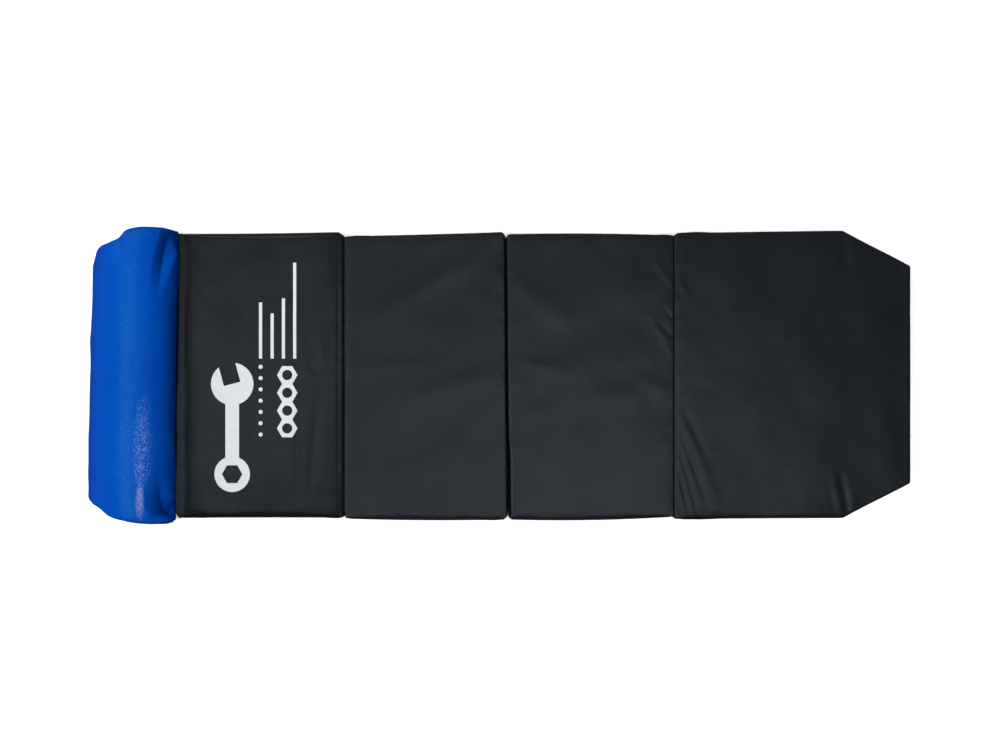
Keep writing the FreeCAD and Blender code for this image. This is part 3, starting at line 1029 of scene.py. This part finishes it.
def roll_skin():
    """The closed skin of the head roll: the wrap tagged 0, the near cap 1, the far cap 2, the base 3. Returns
    the skin, and the point numbers of the end seam on each side."""
    section = roll_section(ROLL_AROUND)
    middle = np.array([ROLL_MIDDLE, 0.5 * ROLL_TOP])
    away = section - middle
    size = np.linalg.norm(away, axis=1, keepdims=True)
    verts, rings = [], []

    def outline_at(side, x):
        return np.interp(x, *(np.array(ROLL_ENDS[side]).T * MM))

    def ring(flat, across):
        rings.append(len(verts))
        for (x, z), y in zip(flat, across):
            verts.append((x + ROLL_LEAN * y, y, max(z, CLOTH)))

    def wrap_ring(inset, across):
        ring(middle + away * (1 - inset / size), across)

    def cap_ring(side, share):
        """A ring of the cap, share of the way from the seam to the middle."""
        flat = middle + away * (1 - ROLL_TURN / size) * (1 - share)
        dome = 1 - (1 - share) ** 2.2
        ring(flat, side * (outline_at(side, flat[:, 0]) + CAP_RISE * dome))

    ends = {}
    for side in ROLL_ENDS:
        reach = outline_at(side, section[:, 0])
        ends[side] = (np.roll(reach, 1) + 2 * reach + np.roll(reach, -1)) / 4
    turns = np.linspace(0, 1, TURN_RINGS + 1)[1:]
    shares = np.linspace(0, 1, CAP_STEPS + 1)[1:-1]
    for share in shares[::-1]:
        cap_ring(-1, share)
    for turn in turns[::-1]:
        wrap_ring(ROLL_TURN * (1 - math.sqrt(1 - turn**2)), -ends[-1] + ROLL_TURN * (1 - turn))
    low, high = -ends[-1] + ROLL_TURN, ends[1] - ROLL_TURN
    for t in np.linspace(-1, 1, WRAP_RINGS):
        wrap_ring(0, low + (high - low) * (t + 1) / 2)
    for turn in turns:
        wrap_ring(ROLL_TURN * (1 - math.sqrt(1 - turn**2)), ends[1] - ROLL_TURN * (1 - turn))
    for share in shares:
        cap_ring(1, share)

    faces, tags = [], []
    cap_rings = len(shares)
    for r in range(len(rings) - 1):
        tag = 1 if r < cap_rings else 2 if r >= len(rings) - 1 - cap_rings else 0
        for i in range(ROLL_AROUND):
            j = (i + 1) % ROLL_AROUND
            quad = [rings[r] + i, rings[r] + j, rings[r + 1] + j, rings[r + 1] + i]
            faces.append(quad)
            under = all(verts[v][2] < CLOTH + 0.3 * MM for v in quad)
            tags.append(3 if under else tag)
    for side, first, tag in ((-1, rings[0], 1), (1, rings[-1], 2)):
        centre = len(verts)
        y = side * (float(outline_at(side, ROLL_MIDDLE)) + CAP_RISE)
        verts.append((middle[0] + ROLL_LEAN * y, y, middle[1]))
        for i in range(ROLL_AROUND):
            j = (i + 1) % ROLL_AROUND
            faces.append([first + i, first + j, centre] if side > 0 else [first + j, first + i, centre])
            tags.append(tag)
    skin = closed_object("head_roll_skin", verts, faces, tags)
    seams = {-1: rings[cap_rings], 1: rings[-1 - cap_rings]}
    return skin, {side: list(range(first, first + ROLL_AROUND)) for side, first in seams.items()}


def roll_detail(points, normals):
    """Moves the roll's skin along its normals: broad ripples, puckers at the end seams and the creases."""
    x, y, z = points.T
    upper = smoothstep((z - 14 * MM) / (18 * MM))
    height = 0.16 * MM * ripples(x * 1.6 + z, y, 90 * MM, 71)
    height += 0.05 * MM * ripples(x * 1.5 - z, y, 26 * MM, 72)
    near_seam = np.exp(-np.maximum(ROLL_HALF - np.abs(y), 0) / (16 * MM))
    around = np.degrees(np.arctan2(z - ROLL_WALL, x - ROLL_MIDDLE))
    pucker = np.sin(around / 6.5 + 2 * np.sin(around / 17)) * np.sign(y)
    height += 0.22 * MM * pucker * near_seam
    height += creases(x, y, ROLL_CREASES)
    for line, *shape in ROLL_GROOVES:
        height += groove(x, y, in_metres(line), *(value * MM for value in shape))
    return points + normals * (height * upper)[:, None]


def make_head_roll():
    """The roll's vinyl pieces and their seams. Returns the pieces of vinyl."""
    skin, seams = roll_skin()
    points = points_of(skin)
    pins = (points[:, 2] < 3 * MM).astype(float)
    for loop in seams.values():
        pins[loop] = 1
    before, after = settle_cloth(skin, pins, ROLL_MOST)
    set_points(skin, before + evened(skin, after - before, pins, 8))
    seam_loops = {side: points_of(skin)[loop] for side, loop in seams.items()}
    subdivide(skin)
    set_points(skin, roll_detail(points_of(skin), vectors(skin.data.vertices, "normal")))
    tree = surface_tree(skin)
    parts = {
        0: ("wrap", "head_roll_wrap"),
        1: ("cap_near", "head_roll_cap_near"),
        2: ("cap_far", "head_roll_cap_far"),
    }
    pieces = []
    for tag, (name, node) in parts.items():
        piece = split_off(skin, tag, f"head_roll_{name}_vinyl")
        thicken(piece)
        finish_piece(piece, "head_roll", "blue_vinyl", [node])
        pieces.append(piece)
    base = split_off(skin, 3, "head_roll_underside")
    lower = points_of(base)
    lower[:, 2] = CLOTH
    set_points(base, lower)
    thicken(base)
    finish_piece(base, "head_roll", "blue_vinyl", ["head_roll_base"])
    bpy.data.objects.remove(skin)
    for side, name in ((-1, "near"), (1, "far")):
        pieces.append(make_roll_seam(name, side, seam_loops[side], tree))
    return pieces


ROLL_EDGE_RADIUS = 1.5 * MM
ROLL_EDGE_LIFT = 0.5 * MM
LOWEST_STITCH = 12 * MM


def make_roll_seam(name, side, loop, tree):
    """One end seam: the folded edge of the vinyl round the cap, and the stitches beside it. Returns the
    folded edge."""
    path = []
    for point in loop:
        hit, normal, _, _ = tree.find_nearest(Vector(point))
        path.append(np.array(hit) + np.array(normal) * ROLL_EDGE_LIFT)
    edge = closed_tube(f"head_roll_seam_edge_{name}", path, ROLL_EDGE_RADIUS)
    finish_piece(edge, "head_roll", "blue_vinyl")

    middle = np.array([ROLL_MIDDLE, 0, 0.5 * ROLL_TOP])
    row, looks = [], []
    for point in loop:
        if point[2] < LOWEST_STITCH:
            continue
        inner = np.array(point) + np.array([0, side * 2.2 * MM, 0])
        outer = inner + (inner - middle) * np.array([0.02, 0, 0.02])
        hit, normal, _, _ = tree.find_nearest(Vector(outer))
        row.append(np.array(hit))
        looks.append(np.array(normal))
    row, looks = np.array(row), np.array(looks)
    gap = np.linalg.norm(np.roll(row, -1, axis=0) - row, axis=1)
    first = (int(np.argmax(gap)) + 1) % len(row)
    row, looks = np.roll(row, -first, axis=0), np.roll(looks, -first, axis=0)

    def outward(point):
        return looks[int(np.argmin(np.linalg.norm(row - point, axis=1)))]

    thread = stitches(f"head_roll_stitches_{name}", row, outward)
    finish_piece(thread, "head_roll", "blue_thread", [f"head_roll_thread_{name}"])
    return edge


CORE_SIZE = 0.76            # of the foam core against the roll's section
# Places across the mat in millimetres, and the core's size there
CORE_STATIONS = [(-180, 0.86), (-174, 0.96), (-164, 1.0), (164, 1.0), (174, 0.96), (180, 0.86)]


def make_roll_foam():
    """The roll's core, kept inside the settled vinyl."""
    middle = np.array([ROLL_MIDDLE, 0.5 * ROLL_TOP])
    away = (roll_section(60) - middle) * CORE_SIZE
    verts = [(x, y * MM, z) for y, size in CORE_STATIONS for x, z in middle + away * size]
    core = closed_object("head_roll_core", verts, ring_faces(len(away), len(CORE_STATIONS)))
    finish_piece(core, "head_roll", "foam", ["head_roll_foam"])


# ---------------- print

INK_GRID = 5 * MM           # the print is cut into squares of this size, so that it can follow the cover
INK_LIFT = 0.03 * MM


def make_print(tree):
    """The white signs, laid over the settled cover of panel 1. Returns the piece."""
    source = frame["nodes"]["panel_1_print"]
    mesh = bmesh.new()
    mesh.from_mesh(source.data)
    bmesh.ops.remove_doubles(mesh, verts=mesh.verts, dist=1e-6)
    low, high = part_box("panel_1_print")
    for axis, (first, last) in enumerate(((low.x, high.x), (low.y, high.y))):
        direction = Vector((1 - axis, axis, 0))
        for place in np.arange(first + INK_GRID, last, INK_GRID):
            parts = mesh.verts[:] + mesh.edges[:] + mesh.faces[:]
            bmesh.ops.bisect_plane(mesh, geom=parts, plane_co=direction * place, plane_no=direction)
    for vertex in mesh.verts:
        above = Vector((vertex.co.x, vertex.co.y, 2 * PANEL_TOP))
        hit = tree.ray_cast(above, Vector((0, 0, -1)))[0]
        vertex.co.z += hit.z - PANEL_TOP + INK_LIFT
    data = bpy.data.meshes.new("panel_1_ink")
    mesh.to_mesh(data)
    mesh.free()
    ink = bpy.data.objects.new("panel_1_ink", data)
    bpy.context.scene.collection.objects.link(ink)
    return finish_piece(ink, "panel_1", "print_white", ["panel_1_print"])


# ---------------- studio

CAMERA_HEIGHT = 2.5
SENSOR = 36                 # the camera's width in millimetres
FLOOR_SIZE = 30
VIEW_WIDTH = 1.46           # width of the picture at the height of the lying surface


def make_camera():
    """Looks straight down from above the middle of the mat."""
    data = bpy.data.cameras.new("camera")
    data.sensor_width = SENSOR
    data.lens = SENSOR * (CAMERA_HEIGHT - PANEL_TOP) / VIEW_WIDTH
    camera = bpy.data.objects.new("camera", data)
    camera.location = (0, 0, CAMERA_HEIGHT)
    bpy.context.scene.collection.objects.link(camera)
    bpy.context.scene.camera = camera


def make_softbox(name, place, size, power, aim=(0, 0, 0), only=(), shielded=()):
    """An area light, for everything, only for some pieces, or for all but the shielded ones."""
    data = bpy.data.lights.new(name, "AREA")
    data.shape = "RECTANGLE"
    data.size, data.size_y = size
    data.energy = power
    light = bpy.data.objects.new(name, data)
    light.location = place
    light.rotation_euler = (Vector(aim) - Vector(place)).to_track_quat("-Z", "Y").to_euler()
    light.visible_camera = False
    bpy.context.scene.collection.objects.link(light)
    if only or shielded:
        linked = bpy.data.collections.new(f"{name}_pieces")
        for piece in only or shielded:
            linked.objects.link(piece)
        if shielded:
            for entry in linked.collection_objects:
                entry.light_linking.link_state = "EXCLUDE"
        light.light_linking.receiver_collection = linked


def make_surroundings():
    """A pale room, dim overhead and dark below the horizon, and brightest towards the head roll and the far
    side of the mat."""
    world = bpy.data.worlds.new("studio")
    world.use_nodes = True
    n = Nodes(world.node_tree)
    direction = n.add("ShaderNodeTexCoord").outputs["Generated"]
    parts = n.add("ShaderNodeSeparateXYZ")
    n.link(direction, parts.inputs[0])
    height = parts.outputs["Z"]
    towards = n.add("ShaderNodeVectorMath", operation="DOT_PRODUCT")
    towards.inputs[1].default_value = (-0.80, 0.60, 0.0)
    n.link(direction, towards.inputs[0])
    overhead = n.ranged(height, 0.45, 0.95, 1.0, 0.16)
    horizon = n.ranged(height, -0.1, 0.0, 0.1, 1.0)
    strength = n.math("MULTIPLY", overhead, horizon)
    strength = n.math("MULTIPLY", strength, n.ranged(towards.outputs["Value"], -0.8, 0.9, 0.25, 1.0))
    background = n.tree.nodes["Background"]
    background.inputs["Color"].default_value = (0.94, 0.97, 1.0, 1)
    n.link(strength, background.inputs["Strength"])
    bpy.context.scene.world = world


def make_studio():
    """The room and the floor. Returns the floor."""
    bpy.context.scene.view_settings.view_transform = "Standard"
    make_surroundings()
    bpy.ops.mesh.primitive_plane_add(size=FLOOR_SIZE)
    floor = bpy.context.object
    floor.name = "floor"
    floor.data.materials.append(floor_material())
    floor.visible_diffuse = False  # the floor throws no light back at the mat
    floor.visible_glossy = False
    return floor


def make_lights(roll, head_panel, floor):
    """The softboxes. roll holds the blue vinyl pieces, and head_panel the cover and the print of panel 1."""
    head_end = roll + head_panel
    make_softbox("over", (-0.05, -0.35, 2.6), (0.8, 0.8), 12, (0, -0.15, 0), shielded=head_end)
    make_softbox("gloss", (0.5, -0.45, 2.5), (0.22, 0.5), 9, (-0.3, -0.1, 0), shielded=head_end)
    make_softbox("head", (-1.65, -0.5, 2.2), (1.2, 1.1), 52, (-0.4, -0.1, 0), shielded=head_end)
    make_softbox("far", (-1.6, 1.9, 1.9), (1.6, 1.2), 66, (-0.1, 0, 0))
    make_softbox("roll_broad", (-0.95, -0.2, 2.4), (1.3, 0.9), 52, (-0.53, 0, 0), only=roll)
    make_softbox("roll_streak", (0.4, -0.35, 2.5), (1.0, 0.5), 15, (-0.53, -0.15, 0), only=roll)
    make_softbox("head_panel", (-0.82, -0.1, 2.5), (0.35, 0.9), 16, (-0.4, 0, 0), only=head_panel)
    make_softbox("floor_fill", (2.0, -0.4, 1.6), (1.5, 1.5), 36, (0.62, 0, 0), only=[floor])


def main():
    make_camera()
    floor = make_studio()
    covers = {number: make_cover(number) for number in PANEL_BOX}
    for number in PANEL_BOX:
        make_side_seam(number)
        make_underside(number)
        make_foam(number)
        board = frame["nodes"][f"panel_{number}_board"]
        board.data.materials.clear()
        board.data.materials.append(MATERIALS["board"])
    cover, tree = covers[1]
    ink = make_print(tree)
    make_lights(make_head_roll(), [cover, ink], floor)
    make_roll_foam()
    make_top_fold("fold_1_2", 1, 2, 1.5 * MM)
    make_top_fold("fold_3_4", 3, 4, 0.5 * MM)
    make_low_fold(
        "fold_2_3", ["panel_2_flap_to_3", "panel_3_flap_to_2"]
    )
    make_low_fold(
        "head_roll_fold",
        ["head_roll_flap", "panel_1_flap_to_head_roll"],
        before_reach=18 * MM,
    )


main()
